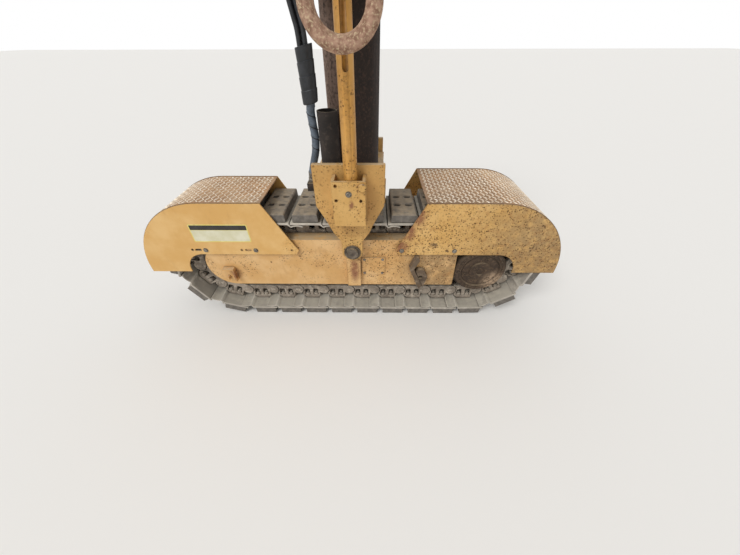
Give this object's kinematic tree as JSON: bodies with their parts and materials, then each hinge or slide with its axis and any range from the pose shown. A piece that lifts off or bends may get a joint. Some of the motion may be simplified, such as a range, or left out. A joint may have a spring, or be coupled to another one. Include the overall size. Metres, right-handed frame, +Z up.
{
  "type": "steerable crawler track leg of a cold planer milling machine",
  "caption": "Crawler track unit that rocks in a yoke under a sliding round column, with guards over its ends, a guide rod and a bolted housing that it steers in.",
  "frame": {"origin": "centre of the housing's flat mounting face, 1.8 m above the ground under the track pads and 0.2 m behind the leg's axis", "axes": "+X along the track towards its drive end, +Y out of the mounting face towards the machine, away from the outer side, +Z up along the leg"},
  "size_m": [2.1514, 0.704, 2.158],
  "materials": {
    "housing_paint": "aged yellow enamel on a welded housing",
    "dark_steel": "dark oiled steel with dirt",
    "collar_steel": "brown painted and rusted steel",
    "ring_rust": "thick rusted bar, pale pink brown",
    "column_rust": "dark rust brown with old grease",
    "yoke_paint": "darker yellow enamel, dirty",
    "bracket_paint": "yellow enamel with rust specks",
    "rod_paint": "yellow enamel, lightly worn",
    "hose_rubber": "matt wrapped rubber hose",
    "frame_paint": "sun bleached yellow enamel with rust specks",
    "wheel_steel": "bare worn steel with dry mud",
    "drive_rust": "brown rusted drum",
    "chain_steel": "worn grey brown steel, dusty",
    "pad_rubber": "dusty grey brown moulded pads",
    "guard_paint": "yellow enamel with rust specks",
    "tread_paint": "worn raised tread sheet, paint gone from its tops",
    "bracket_steel": "weathered bare steel"
  },
  "bodies": {
    "housing": {"leg_housing": "housing_paint", "leg_cap": "dark_steel"},
    "collar": {"steer_collar": "collar_steel", "hose_guide": "dark_steel"},
    "ring": {"lifting_ring": "ring_rust"},
    "leg": {"column": "column_rust", "yoke": "yoke_paint", "pivot_pins": "wheel_steel", "rod_bracket": "bracket_paint", "guide_rod": "rod_paint", "stub_pipe": "dark_steel", "hose_bundle": "hose_rubber", "hose_bulkhead": "dark_steel"},
    "track": {"track_frame": "frame_paint", "pivot_posts": "frame_paint", "cover_plate": "frame_paint", "idler": "wheel_steel", "idler_axle": "wheel_steel", "roller_1": "wheel_steel", "roller_2": "wheel_steel", "roller_3": "wheel_steel", "roller_4": "wheel_steel", "roller_5": "wheel_steel", "sprocket": "wheel_steel", "final_drive": "drive_rust", "drive_motor": "dark_steel", "drive_mount": "frame_paint", "track_links": "chain_steel", "track_shoes": "chain_steel", "track_pads": "pad_rubber", "drive_guard_side": "guard_paint", "drive_guard_tread": "tread_paint", "drive_guard_back": "guard_paint", "idler_guard_side": "guard_paint", "idler_guard_tread": "tread_paint", "idler_guard_back": "guard_paint", "guard_rails": "frame_paint", "step_lug": "frame_paint", "chevron_bracket": "bracket_steel"}
  },
  "joints": [
    {"name": "leg_steer", "type": "hinge", "parent": "housing", "child": "collar", "pos_m": [0, -0.2, -0.365], "axis": [0, 0, 1], "range_deg": [-20, 20]},
    {"name": "leg_lift", "type": "slide", "parent": "collar", "child": "leg", "axis": [0, 0, 1], "range_m": [0, 0.3]},
    {"name": "track_rock", "type": "hinge", "parent": "leg", "child": "track", "pos_m": [-0.017, -0.2, -1.3], "axis": [0, 1, 0], "range_deg": [-10, 10]},
    {"name": "ring_swing", "type": "hinge", "parent": "collar", "child": "ring", "pos_m": [0, -0.58, -0.33852], "axis": [1, 0, 0], "range_deg": [-85, 25]}
  ]
}
